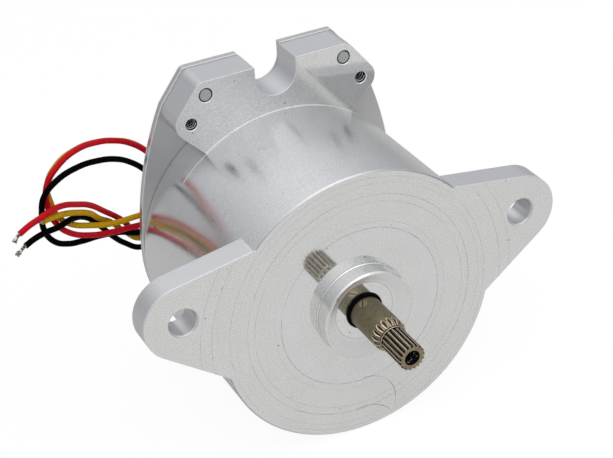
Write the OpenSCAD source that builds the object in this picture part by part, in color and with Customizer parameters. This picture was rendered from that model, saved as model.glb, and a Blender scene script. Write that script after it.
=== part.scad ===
// Brushless dc motor with an eared mounting flange, a bracket pad and a splined output shaft.
// Origin: on the shaft axis at the flange mounting face. X to the side, +Z up, the shaft points to -Y.

/* [Housing] */
// Outside diameter of the barrel and of the flange disc
body_d = 104; // [88:1:125]
// Length from the mounting face to the cover joint
body_l = 70; // [66:1:84]
// Thickness of the barrel wall around the stator
wall_t = 6; // [5:0.5:8]
// Thickness of the front wall behind the mounting face
front_t = 10; // [9:0.5:13]
// Chamfer on turned outer edges
edge_c = 0.5; // [0.2:0.1:1]

/* [Mounting ears] */
// Distance from the side of the barrel to an ear hole centre
ear_out = 13; // [9:0.5:20]
// Height of the ear holes above the shaft axis
ear_rise = 17.2; // [5:0.2:22]
// Radius of the ear tip around its hole
ear_tip_r = 13.8; // [10:0.2:18]
// Thickness of an ear
ear_t = 10; // [6:0.5:12]
// Diameter of an ear hole
ear_hole_d = 10; // [6:0.5:12]
// Fall of the ear's upper edge towards its tip, in degrees
ear_upper_fall = 9; // [0:1:15]
// Rise of the ear's lower edge towards its tip, in degrees
ear_lower_rise = 37; // [25:1:45]

/* [Pilot] */
// Diameter of the centring pilot
pilot_d = 34; // [30:0.5:44]
// Height of the pilot in front of the mounting face
pilot_h = 6.3; // [4.5:0.1:9]
// Width of the pilot's rim around its dished front
pilot_rim = 1; // [0.8:0.1:2]
// Diameter of the flat floor of the dish
dish_d = 22; // [20:0.2:23]
// Height of the dish floor above the mounting face
dish_rise = 2.2; // [1.8:0.1:3]

/* [Bracket pad] */
// Thickness of the pad along the shaft axis
pad_t = 13.5; // [10:0.5:20]
// Height of the pad above the top of the barrel
pad_rise = 18.5; // [15:0.5:24]
// Half spacing of the two side lobes and of their tapped holes
lobe_x = 33.4; // [30:0.2:40]
// Height of the lobe centres above the top of the barrel
lobe_rise = 3.7; // [2:0.1:6]
// Radius of a lobe
lobe_r = 5.8; // [5:0.1:7]
// Radius of the pad's upper corners
corner_r = 4; // [2:0.5:6]
// Radius of the bottom of the U notch, and half its width
notch_r = 8; // [5:0.5:10]
// Depth of the U notch below the pad's top edge
notch_depth = 12.5; // [10:0.5:16]
// Half spacing of the dowel pins
dowel_x = 27; // [22:0.5:29]
// Height of the dowel pins above the top of the barrel
dowel_rise = 13.3; // [11:0.1:15]
// Diameter of a dowel pin
dowel_d = 5; // [3:0.5:6]
// Core diameter of the two tapped lobe holes
lobe_tap_d = 4.2; // [3.3:0.1:5]

/* [Rear cover] */
// Thickness of the cover plate
cover_t = 3; // [2.5:0.5:5]
// How far the cover's head stands out around the pad
cover_lip = 0.3; // [0:0.1:1]
// Depth of the spigot that centres the cover in the barrel
spigot_h = 4; // [4:0.5:6]
// Number of screws around the cover
cover_screw_count = 6; // [4:1:8]
// Thread diameter of a cover screw
cover_screw_d = 3; // [2.5:0.5:4]
// Length of a cover screw under its head
cover_screw_l = 11; // [8:1:14]

/* [Shaft] */
// Diameter of the plain output shaft
shaft_d = 12; // [11:0.5:15]
// Reach of the shaft in front of the mounting face
shaft_out = 35; // [30:0.5:45]
// Length of the splined end
spline_l = 12; // [8:0.1:15]
// Diameter over the spline teeth
spline_d = 9.5; // [8:0.1:9.8]
// Diameter at the spline roots
spline_root_d = 8.1; // [7:0.1:8.2]
// Number of spline teeth
spline_teeth = 18; // [12:1:24]
// Core diameter of the tapped hole in the shaft end
end_tap_d = 5; // [3.3:0.1:5.2]
// Depth of the tapped hole in the shaft end
end_tap_l = 12; // [8:1:16]
// Diameter of the rotor seat on the shaft
rotor_seat_d = 14; // [14:0.5:20]
// Diameter of the rear bearing journal
journal_d = 10; // [8:0.5:12]

/* [Bearings] */
// Outside diameter of the front ball bearing
front_bearing_d = 32; // [28:1:37]
// Width of the front ball bearing
front_bearing_w = 10; // [8:1:12]
// Outside diameter of the rear ball bearing
rear_bearing_d = 26; // [22:1:30]
// Width of the rear ball bearing
rear_bearing_w = 8; // [7:1:9]
// Number of balls in each bearing
ball_count = 7; // [6:1:7]
// Radial section of the shaft seal behind the dish floor
seal_section = 2; // [1.5:0.1:2.4]
// Radial section of the seal's nose, seen in the dish
nose_section = 0.8; // [0.6:0.05:1]
// Height of the seal's nose above the dish floor
nose_h = 1.2; // [0.6:0.1:1.4]

/* [Rotor and stator] */
// Length of the stator and rotor stacks
stack_l = 34; // [24:1:40]
// Distance from the mounting face to the stator stack
stack_at = 21.5; // [20:0.5:26]
// Bore diameter of the stator
stator_bore_d = 53; // [48:1:56]
// Radial air gap between the rotor sleeve and the stator
air_gap = 1; // [0.6:0.1:1.5]
// Thickness of the magnets
magnet_t = 3; // [2:0.5:4]
// Number of magnets
pole_count = 6; // [4:2:8]
// Number of stator teeth and coils
tooth_count = 9; // [9:1:9]
// Width of a stator tooth
tooth_w = 10; // [8:0.5:11]
// Thickness of the stator's back iron
yoke_t = 6; // [4:0.5:8]
// Thickness of a coil beside and beyond its tooth
coil_t = 4.6; // [3:0.1:4.8]

/* [Leads] */
// Outside diameter of a lead
lead_d = 2.2; // [1.8:0.1:2.4]
// Diameter of the bare twisted strands
strand_d = 1.3; // [0.8:0.1:1.5]
// Side position of the lead grommet, left of the axis
grommet_x = 28; // [26:0.5:30]
// Height of the lead grommet above the axis
grommet_rise = 6; // [0:0.5:8]

/* [Hidden] */
$fn = 96;
eps = 0.01;

// Clearances
press_gap = 0.02;
run_gap = 0.05;
slip_gap = 0.2;

// Housing
body_r = body_d / 2;
bore_r = body_r - wall_t;
bearing_at = 1.5;
relief_h = 0.8;
dish_wall = 1.2;
ramp_w = 1.3;
ramp_h = 0.45;
hub_wall = 4;
clip_t = 1;
clip_grip = 0.8;
hub_end = bearing_at + front_bearing_w + clip_t + 2;
stator_stop = 0.8;
ear_x = body_r + ear_out;
ear_sink = 6;
hole_c = 0.4;

// Bracket pad, seen along the shaft axis
pad_top = body_r + pad_rise;
pad_face = pad_t - body_l;
lobe_y = body_r + lobe_rise;
dowel_y = body_r + dowel_rise;
flank_a = 38;
neck_a = -44;

// Rear cover
hub_r = rear_bearing_d / 2 + hub_wall;
spring_t = 1.5;
ring_section = 1.7;
ring_groove = 1.75;
spigot_wall = 4;
head_h = 3;
head_d = 5.5;
cover_screw_ring = body_r - wall_t / 2;

// Shaft
shaft_r = shaft_d / 2;
teeth_at = shaft_out - spline_l;
relief_w = 0.4;
relief_r = spline_root_d / 2 - 0.12;
collar_w = 0.3;
collar_groove_w = 0.35;
shoulder_at = teeth_at - relief_w - collar_w - collar_groove_w;
shoulder_l = 2.05;
shoulder_h = 0.8;
flute_a = 12.4;
tooth_h = (spline_d - spline_root_d) / 2;
collar_r = rotor_seat_d / 2 + 1;
fine_groove_h = 0.25;
fine_groove_w = 0.6;
fine_groove_end = dish_rise + nose_h + 0.05;
foot_c = 0.25;
seal_r = shaft_r + seal_section;
seal_back = relief_h - bearing_at;
seal_front = dish_rise - dish_wall;
nose_r = shaft_r + nose_section;
rear_bearing_at = body_l - spring_t;

// Rotor and stator
stator_r = bore_r;
sleeve_r = stator_bore_d / 2 - air_gap;
sleeve_t = 0.45;
magnet_r = sleeve_r - sleeve_t - run_gap;
rotor_r = magnet_r - magnet_t;
magnet_gap_a = 6;
core_over = 0.5;
insulator_t = 1.2;
tip_h = 2.5;
slot_mouth = 3;
coil_hole_w = tooth_w + 0.6;
coil_w = coil_hole_w + 2 * coil_t;
coil_in_r = max(stator_bore_d / 2 + tip_h + 1, (coil_w / 2 + 0.1) / tan(180 / tooth_count));
coil_out_r = sqrt(pow(stator_r - yoke_t - 0.3, 2) - coil_w * coil_w / 4);
star_r = 2;

// Leads: each route runs from the grommet, once round and out to the cut end
grommet_r = 6;
grommet_lip = 1.5;
lead_ring_r = 2.4;
lead_start = body_l + cover_t + grommet_lip;
lead_sides = 8;
red_route = [
    [-30, 74.5, 5], [-30.5, 78, 5], [-33.5, 81.5, 5], [-39, 83, 5.5], [-49, 82, 7], [-60.5, 78, 10],
    [-69.5, 74.5, 13.5], [-78, 71, 19], [-83, 69, 25.5], [-85, 69, 32.5], [-84, 70.5, 40],
    [-78, 73, 45.5], [-69.5, 76, 48], [-61.5, 79, 47], [-53.5, 82, 44], [-46.5, 84.5, 39.5],
    [-40.5, 86.5, 33.5], [-35, 88.5, 26], [-32, 90, 17], [-32.5, 91.5, 8], [-36, 91.5, 1.5],
    [-41, 90, -1], [-47, 88, 0.5], [-54.5, 85, 10], [-61.5, 80, 18], [-68.5, 75, 25.5], [-74, 71, 29.5],
    [-80, 67, 33], [-85.5, 63.5, 34.5], [-91, 61, 34], [-95, 59.5, 33.5], [-99, 58.5, 32]
];
yellow_route = [
    [-28, 74.5, 8.5], [-28.5, 78.5, 8.5], [-31, 82, 9], [-37.5, 84.5, 9.5], [-48.5, 82, 11],
    [-60, 78, 13.5], [-68.5, 75, 17], [-77.5, 72.5, 22], [-81.5, 71.5, 27], [-83, 72, 32.5],
    [-83, 73.5, 38.5], [-77.5, 76.5, 44], [-69, 79, 46.5], [-61, 82, 45.5], [-53, 85, 42.5],
    [-45.5, 88, 38], [-39.5, 90, 32], [-33.5, 92, 25], [-30.5, 93.5, 16], [-31, 95, 6.5],
    [-35, 95, -1], [-40.5, 93, -4.5], [-46.5, 90, -3.5], [-53, 87.5, 3], [-59, 83.5, 11],
    [-64, 79.6, 16], [-69, 74.7, 22.4], [-74.5, 71, 26.3], [-80, 67.5, 29.3], [-85.5, 64.5, 31], [-89.5, 62.5, 31.8]
];
black_route = [
    [-26, 74.5, 5], [-26, 79.5, 4.5], [-28.5, 84.5, 3.5], [-36.5, 87.5, 2], [-47.5, 85, 2],
    [-56.5, 82, 6.5], [-65.5, 78, 10], [-73.5, 74, 12.5], [-79.5, 71, 15], [-84.5, 69, 18.5],
    [-88, 67.5, 25], [-88.2, 66.5, 32.5], [-86.5, 65.8, 39.3], [-81, 68, 42.5], [-71.5, 72.5, 43],
    [-62, 77.5, 40.5], [-54.5, 81.5, 37], [-48, 85.5, 32], [-43, 87.5, 27], [-39, 90.5, 20.5],
    [-36.5, 94.5, 12.5], [-35, 98, 4], [-36, 98, -3.5], [-40.5, 94.5, -8], [-46.5, 90, -7.5],
    [-53.5, 87.5, -2], [-58.5, 85, 4], [-64.5, 81, 13], [-70, 76.5, 20.1], [-77, 70.3, 24.8],
    [-83.5, 65.5, 26], [-88.5, 63, 27], [-93.5, 61, 27], [-97.5, 59, 26.5]
];
red_tip = [-101.5, 57.5, 30];
yellow_tip = [-92.5, 62, 31.6];
black_tip = [-101.5, 57, 25];

function unit(v) = v / norm(v);

// Points on an arc from angle a0 to angle a1
function arc(centre, r, a0, a1, steps) = [
    for (i = [0 : steps])
        let (a = a0 + (a1 - a0) * i / steps)
        centre + r * [cos(a), sin(a)]
];

// Where a ray from a point outside, at angle a, first meets the circle of radius r round the axis
function reach(point, a, r) =
    let (
        heading = [cos(a), sin(a)],
        along = point * heading,
        inside = along * along - point * point + r * r
    )
    point + heading * (-along - sqrt(inside));

function mirrored(points) = [for (i = [len(points) - 1 : -1 : 0]) [-points[i][0], points[i][1]]];

// Right half of the pad's outline, grown outwards by grow, from the top centre to the barrel
function pad_half(grow, corner) =
    let (
        lobe = [lobe_x, lobe_y],
        lobe_size = lobe_r + grow,
        flank = [cos(flank_a), sin(flank_a)],
        corner_y = pad_top + grow - corner,
        corner_x = (flank * lobe + lobe_size - corner - flank[1] * corner_y) / flank[0],
        neck = arc(lobe, lobe_size, flank_a, neck_a, 14)
    )
    concat(
        arc([corner_x, corner_y], corner, 90, flank_a, 8),
        neck,
        [reach(neck[len(neck) - 1], neck_a - 90, body_r - 1)]
    );

// Motor axis: the local z of a child becomes the direction of the output shaft
module on_axis() {
    rotate([90, 0, 0]) children();
}

// Ring of rectangular section between two planes
module ring(outer, inner, z0, z1) {
    translate([0, 0, z0]) difference() {
        cylinder(r = outer, h = z1 - z0);
        translate([0, 0, -1]) cylinder(r = inner, h = z1 - z0 + 2);
    }
}

module ear_blank() {
    centre = [ear_x, ear_rise];
    upper_a = 90 - ear_upper_fall;
    lower_a = ear_lower_rise - 90;
    upper = centre + ear_tip_r * [cos(upper_a), sin(upper_a)];
    lower = centre + ear_tip_r * [cos(lower_a), sin(lower_a)];
    root_r = body_r - ear_sink;
    translate([0, 0, -ear_t]) linear_extrude(ear_t) polygon(concat(
        [reach(upper, 180 - ear_upper_fall, root_r)],
        arc(centre, ear_tip_r, upper_a, lower_a, 24),
        [reach(lower, 180 + ear_lower_rise, root_r), [root_r / 2, ear_rise / 2]]
    ));
}

module pad_blank(grow, corner, thickness) {
    half = pad_half(grow, corner);
    linear_extrude(thickness) polygon(concat(half, mirrored(half)));
}

// U notch, open at the top
module notch_cut(widen) {
    floor_y = pad_top - notch_depth + notch_r;
    translate([0, floor_y, -body_l - cover_t - 1]) {
        cylinder(r = notch_r + widen, h = pad_t + cover_t + 2);
        translate([-notch_r - widen, 0, 0]) cube([2 * (notch_r + widen), notch_depth, pad_t + cover_t + 2]);
    }
}

module at_dowels() {
    for (side = [-1, 1]) translate([side * dowel_x, dowel_y, 0]) children();
}

module at_lobes() {
    for (side = [-1, 1]) translate([side * lobe_x, lobe_y, 0]) children();
}

module at_cover_screws() {
    for (i = [0 : cover_screw_count - 1])
        rotate([0, 0, 30 + 360 * i / cover_screw_count]) translate([cover_screw_ring, 0, 0]) children();
}

// One turned part: dished pilot, mounting face, barrel, bearing hub and bores
module housing_turning() {
    seat_r = front_bearing_d / 2;
    nose_hole_r = nose_r + run_gap;
    rotate_extrude($fn = 180) polygon([
        [nose_hole_r + hole_c / 2, dish_rise], [dish_d / 2, dish_rise],
        [dish_d / 2 + ramp_w, dish_rise + ramp_h], [pilot_d / 2 - pilot_rim, pilot_h],
        [pilot_d / 2 - edge_c, pilot_h], [pilot_d / 2, pilot_h - edge_c],
        [pilot_d / 2, foot_c], [pilot_d / 2 + foot_c, 0], [body_r - edge_c, 0], [body_r, -edge_c], [body_r, -body_l], [bore_r, -body_l],
        [bore_r, -stack_at], [bore_r - stator_stop, -stack_at], [bore_r - stator_stop, -front_t],
        [seat_r + hub_wall, -front_t], [seat_r + hub_wall, -hub_end], [seat_r, -hub_end],
        [seat_r, -bearing_at], [seat_r - 2.5, -bearing_at], [seat_r - 2.5, seal_back],
        [seal_r, seal_back], [seal_r, seal_front], [nose_hole_r, seal_front],
        [nose_hole_r, dish_rise - hole_c / 2]
    ]);
}

module clip_groove() {
    seat_r = front_bearing_d / 2;
    ring(seat_r + clip_grip, seat_r - 1, -bearing_at - front_bearing_w - clip_t - 0.1, -bearing_at - front_bearing_w);
}

module front_housing() {
    color("#c6c7c9") on_axis() difference() {
        union() {
            housing_turning();
            difference() {
                union() {
                    ear_blank();
                    mirror([1, 0, 0]) ear_blank();
                    translate([0, 0, -body_l]) pad_blank(0, corner_r, pad_t);
                }
                translate([0, 0, -body_l - 1]) cylinder(r = body_r - 2, h = body_l + 2);
            }
        }
        clip_groove();
        notch_cut(0);
        for (side = [-1, 1]) translate([side * ear_x, ear_rise, 0]) {
            translate([0, 0, -ear_t - 1]) cylinder(d = ear_hole_d, h = ear_t + 2);
            translate([0, 0, -hole_c]) cylinder(d1 = ear_hole_d, d2 = ear_hole_d + 4 * hole_c, h = 2 * hole_c);
        }
        at_dowels() translate([0, 0, -body_l - 1]) cylinder(d = dowel_d, h = pad_t + 2);
        at_dowels() translate([0, 0, pad_face - hole_c]) cylinder(d1 = dowel_d, d2 = dowel_d + 4 * hole_c, h = 2 * hole_c);
        at_lobes() translate([0, 0, -body_l - 1]) cylinder(d = lobe_tap_d, h = pad_t + 2);
        at_lobes() translate([0, 0, pad_face - hole_c]) cylinder(d1 = lobe_tap_d, d2 = lobe_tap_d + 4 * hole_c, h = 2 * hole_c);
        at_cover_screws() translate([0, 0, -body_l - 1]) cylinder(d = cover_screw_d, h = cover_screw_l - cover_t + 2);
    }
}

// Plate with drawn-in flanks: each flank is an arc that touches the round plate and a lobe
module cover_plate() {
    lobe_size = lobe_r + cover_lip;
    off_x = lobe_x - body_r;
    flank_r = (lobe_size * lobe_size - off_x * off_x - lobe_y * lobe_y) / (2 * (off_x + lobe_size));
    touch = [body_r - flank_r, 0] + flank_r * unit([lobe_x - body_r + flank_r, lobe_y]);
    cylinder(r = body_r, h = cover_t, $fn = 180);
    intersection() {
        translate([body_r - flank_r, 0, 0]) cylinder(r = flank_r, h = cover_t, $fn = 360);
        translate([flank_r - body_r, 0, 0]) cylinder(r = flank_r, h = cover_t, $fn = 360);
        translate([-body_r, 0, 0]) cube([body_d, touch[1], cover_t]);
    }
    pad_blank(cover_lip, corner_r / 2, cover_t);
}

module rear_cover() {
    spigot_r = bore_r - run_gap;
    color("#bfc0c2") on_axis() difference() {
        union() {
            translate([0, 0, -body_l - cover_t]) cover_plate();
            ring(spigot_r, spigot_r - spigot_wall, -body_l - eps, spigot_h - body_l);
            translate([0, 0, -body_l - eps]) cylinder(r = hub_r, h = spring_t + rear_bearing_w + 0.5);
        }
        ring(spigot_r + 1, bore_r - ring_groove, 1 - body_l, 1 + ring_section + 0.2 - body_l);
        translate([0, 0, -body_l]) cylinder(d = rear_bearing_d, h = rear_bearing_w + spring_t + 2);
        notch_cut(0.4);
        at_dowels() translate([0, 0, -body_l - cover_t - 1]) cylinder(d = dowel_d, h = cover_t + 2);
        at_cover_screws() translate([0, 0, -body_l - cover_t - 1]) cylinder(d = cover_screw_d + 0.4, h = cover_t + 2);
        translate([-grommet_x, grommet_rise, -body_l - cover_t - 1]) cylinder(r = grommet_r, h = cover_t + 2);
    }
}

module cover_seal_ring() {
    color("#202020") on_axis() translate([0, 0, 1 + ring_section / 2 + 0.1 - body_l])
        rotate_extrude() translate([bore_r - ring_section / 2 - press_gap, 0]) circle(d = ring_section, $fn = 24);
}

// Socket head screw with its head towards -z
module cover_screws() {
    color("#8d8f92") on_axis() at_cover_screws() translate([0, 0, -body_l - cover_t]) difference() {
        union() {
            translate([0, 0, -head_h]) cylinder(d = head_d, h = head_h, $fn = 48);
            translate([0, 0, -eps]) cylinder(d = cover_screw_d - 2 * press_gap, h = cover_screw_l, $fn = 32);
        }
        translate([0, 0, -head_h - 1]) cylinder(d = head_d / 2, h = head_h / 2 + 1, $fn = 6);
    }
}

module dowel_pins() {
    pin_l = pad_t + cover_t - 0.4;
    color("#aab0ab") on_axis() at_dowels() translate([0, 0, -body_l - cover_t + 0.2]) {
        cylinder(d1 = dowel_d - 0.8, d2 = dowel_d, h = 0.4, $fn = 48);
        translate([0, 0, 0.4]) cylinder(d = dowel_d, h = pin_l - 0.8, $fn = 48);
        translate([0, 0, pin_l - 0.4]) cylinder(d1 = dowel_d, d2 = dowel_d - 0.8, h = 0.4, $fn = 48);
    }
}

module lead_grommet() {
    color("#1b1b1b") on_axis() translate([-grommet_x, grommet_rise, 0]) {
        translate([0, 0, -lead_start]) cylinder(r = grommet_r + 1.5, h = grommet_lip, $fn = 48);
        translate([0, 0, -body_l - cover_t]) cylinder(r = grommet_r, h = cover_t, $fn = 48);
        translate([0, 0, -body_l]) cylinder(r = grommet_r + 1.2, h = grommet_lip, $fn = 48);
    }
}

// Straight gap between two teeth, from the relief groove to the end of the shaft
module spline_gap() {
    floor_w = PI * spline_root_d / spline_teeth * 0.5;
    mouth_w = PI * spline_d / spline_teeth * 0.64;
    cut_h = tooth_h + 0.5;
    translate([spline_root_d / 2, 0, teeth_at - relief_w / 2]) linear_extrude(spline_l + 1) polygon([
        [0, -floor_w / 2], [cut_h, -mouth_w / 2 - 0.1], [cut_h, mouth_w / 2 + 0.1], [0, floor_w / 2]
    ]);
}

// Flute left by the cutter where it climbs out over the shoulder: a trough, open outwards
module run_out() {
    trough_r = PI * shaft_d / spline_teeth * 0.36;
    floor_r = shaft_r - shoulder_h - 0.1;
    translate([floor_r + trough_r, 0, shoulder_at + 0.15]) rotate([0, 180 - flute_a, 0]) {
        cylinder(r = trough_r, h = 8, $fn = 24);
        translate([-3, -trough_r, 0]) cube([3, 2 * trough_r, 8]);
    }
}

module shaft() {
    core_back = stack_at + stack_l + core_over;
    journal_front = rear_bearing_at - rear_bearing_w;
    shoulder_r = shaft_r - shoulder_h;
    collar_ring_r = shoulder_r - 0.3;
    color("#6f6857") on_axis() difference() {
        rotate_extrude($fn = 120) polygon([
            [0, shaft_out], [spline_d / 2 - 0.25, shaft_out], [spline_d / 2, shaft_out - 0.25],
            [spline_d / 2, teeth_at], [relief_r, teeth_at], [relief_r, teeth_at - relief_w],
            [collar_ring_r, teeth_at - relief_w], [collar_ring_r, shoulder_at + collar_groove_w],
            [collar_ring_r - 0.35, shoulder_at + collar_groove_w], [collar_ring_r - 0.35, shoulder_at],
            [shoulder_r, shoulder_at], [shaft_r, shoulder_at - shoulder_l], [shaft_r, fine_groove_end],
            [shaft_r - fine_groove_h, fine_groove_end],
            [shaft_r - fine_groove_h, fine_groove_end - fine_groove_w], [shaft_r, fine_groove_end - fine_groove_w],
            [shaft_r, -bearing_at - front_bearing_w],
            [collar_r, -bearing_at - front_bearing_w], [collar_r, core_over - stack_at],
            [rotor_seat_d / 2, core_over - stack_at], [rotor_seat_d / 2, -core_back],
            [journal_d / 2 + 1, -core_back], [journal_d / 2 + 1, -journal_front],
            [journal_d / 2, -journal_front], [journal_d / 2, -body_l + 1.3],
            [journal_d / 2 - 0.3, -body_l + 1], [0, -body_l + 1]
        ]);
        for (i = [0 : spline_teeth - 1]) rotate([0, 0, 360 * (i + 0.5) / spline_teeth]) {
            spline_gap();
            run_out();
        }
        translate([0, 0, shaft_out - end_tap_l]) cylinder(d = end_tap_d, h = end_tap_l + 1, $fn = 48);
        translate([0, 0, shaft_out - 0.45]) cylinder(d1 = end_tap_d, d2 = end_tap_d + 1.8, h = 0.9, $fn = 48);
    }
}

// Stepped seal, pressed in from the bearing side; its rounded nose stands a little above the dish floor
module shaft_seal() {
    front = dish_rise + nose_h;
    lip_r = shaft_r + run_gap;
    color("#151515") on_axis() rotate_extrude($fn = 120) polygon([
        [seal_r, seal_back], [seal_r, seal_front], [nose_r, seal_front], [nose_r, front - 0.5],
        [nose_r - 0.15, front - 0.15], [nose_r - 0.4, front], [lip_r, front], [lip_r, seal_front + 0.4],
        [lip_r + 0.5, seal_front], [lip_r + 0.5, seal_back]
    ]);
}

module bearing_circlip() {
    seat_r = front_bearing_d / 2;
    color("#77797c") on_axis() rotate([0, 0, 285]) translate([0, 0, -bearing_at - front_bearing_w - clip_t - 0.05])
        rotate_extrude(angle = 330) translate([seat_r - 2.2, 0]) square([2.2 + clip_grip - run_gap, clip_t]);
}

module preload_spring() {
    color("#9a9c9f") on_axis()
        ring(rear_bearing_d / 2 - slip_gap, rear_bearing_d / 2 - 2.4, -body_l, -rear_bearing_at);
}

// Deep groove ball bearing: bore, outside diameter and width; its front face lies at z = 0
function pitch_r(bore, outside) = (bore + outside) / 4;
function ball_r(bore, outside) = 0.149 * (outside - bore);
function inner_land(bore, outside) = pitch_r(bore, outside) - 0.6 * ball_r(bore, outside);
function outer_land(bore, outside) = pitch_r(bore, outside) + 0.6 * ball_r(bore, outside);

module race_groove(bore, outside, width) {
    translate([0, 0, -width / 2]) rotate_extrude()
        translate([pitch_r(bore, outside), 0]) circle(r = ball_r(bore, outside) + run_gap, $fn = 48);
}

module bearing_outer(bore, outside, width) {
    color("#a4a7aa") difference() {
        ring(outside / 2, outer_land(bore, outside), -width, 0);
        race_groove(bore, outside, width);
    }
}

module bearing_inner(bore, outside, width) {
    color("#a4a7aa") difference() {
        ring(inner_land(bore, outside), bore / 2, -width, 0);
        race_groove(bore, outside, width);
    }
}

module at_balls(bore, outside, width) {
    for (i = [0 : ball_count - 1]) rotate([0, 0, 360 * i / ball_count])
        translate([pitch_r(bore, outside), 0, -width / 2]) children();
}

module bearing_balls(bore, outside, width) {
    color("#d5d8db") at_balls(bore, outside, width) sphere(r = ball_r(bore, outside), $fn = 48);
}

module bearing_cage(bore, outside, width) {
    half_t = 0.3 * ball_r(bore, outside);
    half_w = ball_r(bore, outside) + 0.7;
    color("#7d5b32") difference() {
        translate([0, 0, -width / 2])
            ring(pitch_r(bore, outside) + half_t, pitch_r(bore, outside) - half_t, -half_w, half_w);
        at_balls(bore, outside, width) rotate([0, 90, 0]) translate([0, 0, -2 * half_t])
            cylinder(r = ball_r(bore, outside) + run_gap, h = 4 * half_t, $fn = 48);
    }
}

module bearing_shields(bore, outside, width) {
    shield_t = 0.4;
    inset = 0.3;
    color("#2c2c2e") for (z = [-inset - shield_t, inset - width])
        ring(outer_land(bore, outside), inner_land(bore, outside) + slip_gap, z, z + shield_t);
}

module at_front_bearing() {
    on_axis() translate([0, 0, -bearing_at]) children();
}

module at_rear_bearing() {
    on_axis() translate([0, 0, rear_bearing_w - rear_bearing_at]) children();
}

module front_bearing_outer() { at_front_bearing() bearing_outer(shaft_d, front_bearing_d, front_bearing_w); }
module front_bearing_inner() { at_front_bearing() bearing_inner(shaft_d, front_bearing_d, front_bearing_w); }
module front_bearing_cage() { at_front_bearing() bearing_cage(shaft_d, front_bearing_d, front_bearing_w); }
module front_bearing_balls() { at_front_bearing() bearing_balls(shaft_d, front_bearing_d, front_bearing_w); }
module front_bearing_shields() { at_front_bearing() bearing_shields(shaft_d, front_bearing_d, front_bearing_w); }
module rear_bearing_outer() { at_rear_bearing() bearing_outer(journal_d, rear_bearing_d, rear_bearing_w); }
module rear_bearing_inner() { at_rear_bearing() bearing_inner(journal_d, rear_bearing_d, rear_bearing_w); }
module rear_bearing_cage() { at_rear_bearing() bearing_cage(journal_d, rear_bearing_d, rear_bearing_w); }
module rear_bearing_balls() { at_rear_bearing() bearing_balls(journal_d, rear_bearing_d, rear_bearing_w); }
module rear_bearing_shields() { at_rear_bearing() bearing_shields(journal_d, rear_bearing_d, rear_bearing_w); }

module rotor_core() {
    hole_ring = (rotor_r + rotor_seat_d / 2) / 2;
    core_l = stack_l + 2 * core_over;
    color("#6d7075") on_axis() translate([0, 0, core_over - stack_at - core_l]) difference() {
        cylinder(r = rotor_r, h = core_l);
        translate([0, 0, -1]) cylinder(d = rotor_seat_d, h = core_l + 2);
        for (i = [0 : 5]) rotate([0, 0, 60 * i]) translate([hole_ring, 0, -1])
            cylinder(r = (rotor_r - rotor_seat_d / 2) / 4, h = core_l + 2, $fn = 32);
    }
}

module magnet(index) {
    span = 360 / pole_count - magnet_gap_a;
    color("#4b4e55") on_axis() rotate([0, 0, 360 * (index - 1) / pole_count - span / 2])
        translate([0, 0, -stack_at - stack_l]) rotate_extrude(angle = span)
            translate([rotor_r, 0]) square([magnet_t, stack_l]);
}

module magnet_sleeve() {
    color("#9b9da0") on_axis() ring(sleeve_r, sleeve_r - sleeve_t, -stack_at - stack_l - core_over, core_over - stack_at);
}

// Back iron with teeth; the slots between them open to the bore through narrow mouths
module stator_core() {
    slot_in = stator_bore_d / 2 + tip_h;
    slot_out = stator_r - yoke_t;
    color("#74777c") on_axis() translate([0, 0, -stack_at - stack_l]) difference() {
        ring(stator_r, stator_bore_d / 2, 0, stack_l);
        difference() {
            ring(slot_out, slot_in, -1, stack_l + 1);
            for (i = [0 : tooth_count - 1]) rotate([0, 0, 360 * i / tooth_count])
                translate([slot_in - 2, -tooth_w / 2, -2]) cube([slot_out - slot_in + 4, tooth_w, stack_l + 4]);
        }
        for (i = [0 : tooth_count - 1]) rotate([0, 0, 360 * (i + 0.5) / tooth_count])
            translate([slot_in - tip_h - 2, -slot_mouth / 2, -1]) cube([tip_h + 3, slot_mouth, stack_l + 2]);
    }
}

// Moulded end insulator: a ring on the back iron with one finger over each tooth
module end_insulator(z) {
    finger_in = stator_bore_d / 2 + 0.5;
    yoke_in = stator_r - yoke_t;
    color("#e6e2d6") on_axis() translate([0, 0, z]) {
        ring(stator_r - 1, yoke_in, 0, insulator_t);
        for (i = [0 : tooth_count - 1]) rotate([0, 0, 360 * i / tooth_count])
            translate([finger_in, -tooth_w / 2, 0]) cube([yoke_in + 0.5 - finger_in, tooth_w, insulator_t]);
    }
}

module front_insulator() { end_insulator(-stack_at); }
module rear_insulator() { end_insulator(-stack_at - stack_l - insulator_t); }

// Coil wound round one tooth: a rounded frame, built with its winding axis along z
module coil(index) {
    hole_l = stack_l + 2 * insulator_t;
    coil_l = hole_l + 2 * coil_t;
    coil_h = coil_out_r - coil_in_r;
    bend = coil_t - 0.6;
    color("#b36a35") on_axis() rotate([0, 0, 360 * (index - 1) / tooth_count])
        translate([coil_in_r, 0, -stack_at - stack_l / 2]) rotate([0, 90, 0]) difference() {
            union() {
                translate([-coil_l / 2, bend - coil_w / 2, 0]) cube([coil_l, coil_w - 2 * bend, coil_h]);
                translate([bend - coil_l / 2, -coil_w / 2, 0]) cube([coil_l - 2 * bend, coil_w, coil_h]);
                for (u = [-1, 1], v = [-1, 1])
                    translate([u * (coil_l / 2 - bend), v * (coil_w / 2 - bend), 0]) cylinder(r = bend, h = coil_h);
            }
            translate([-hole_l / 2, -coil_hole_w / 2, -1]) cube([hole_l, coil_hole_w, coil_h + 2]);
        }
}

// Ring that joins the three phases, lying on the rear ends of the coils
module star_ring() {
    behind = stack_at + stack_l + insulator_t + coil_t + star_r / 2 + press_gap;
    color("#b87333") on_axis() translate([0, 0, -behind]) rotate_extrude()
        translate([(coil_in_r + coil_out_r) / 2, 0]) circle(d = star_r, $fn = 24);
}

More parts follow.
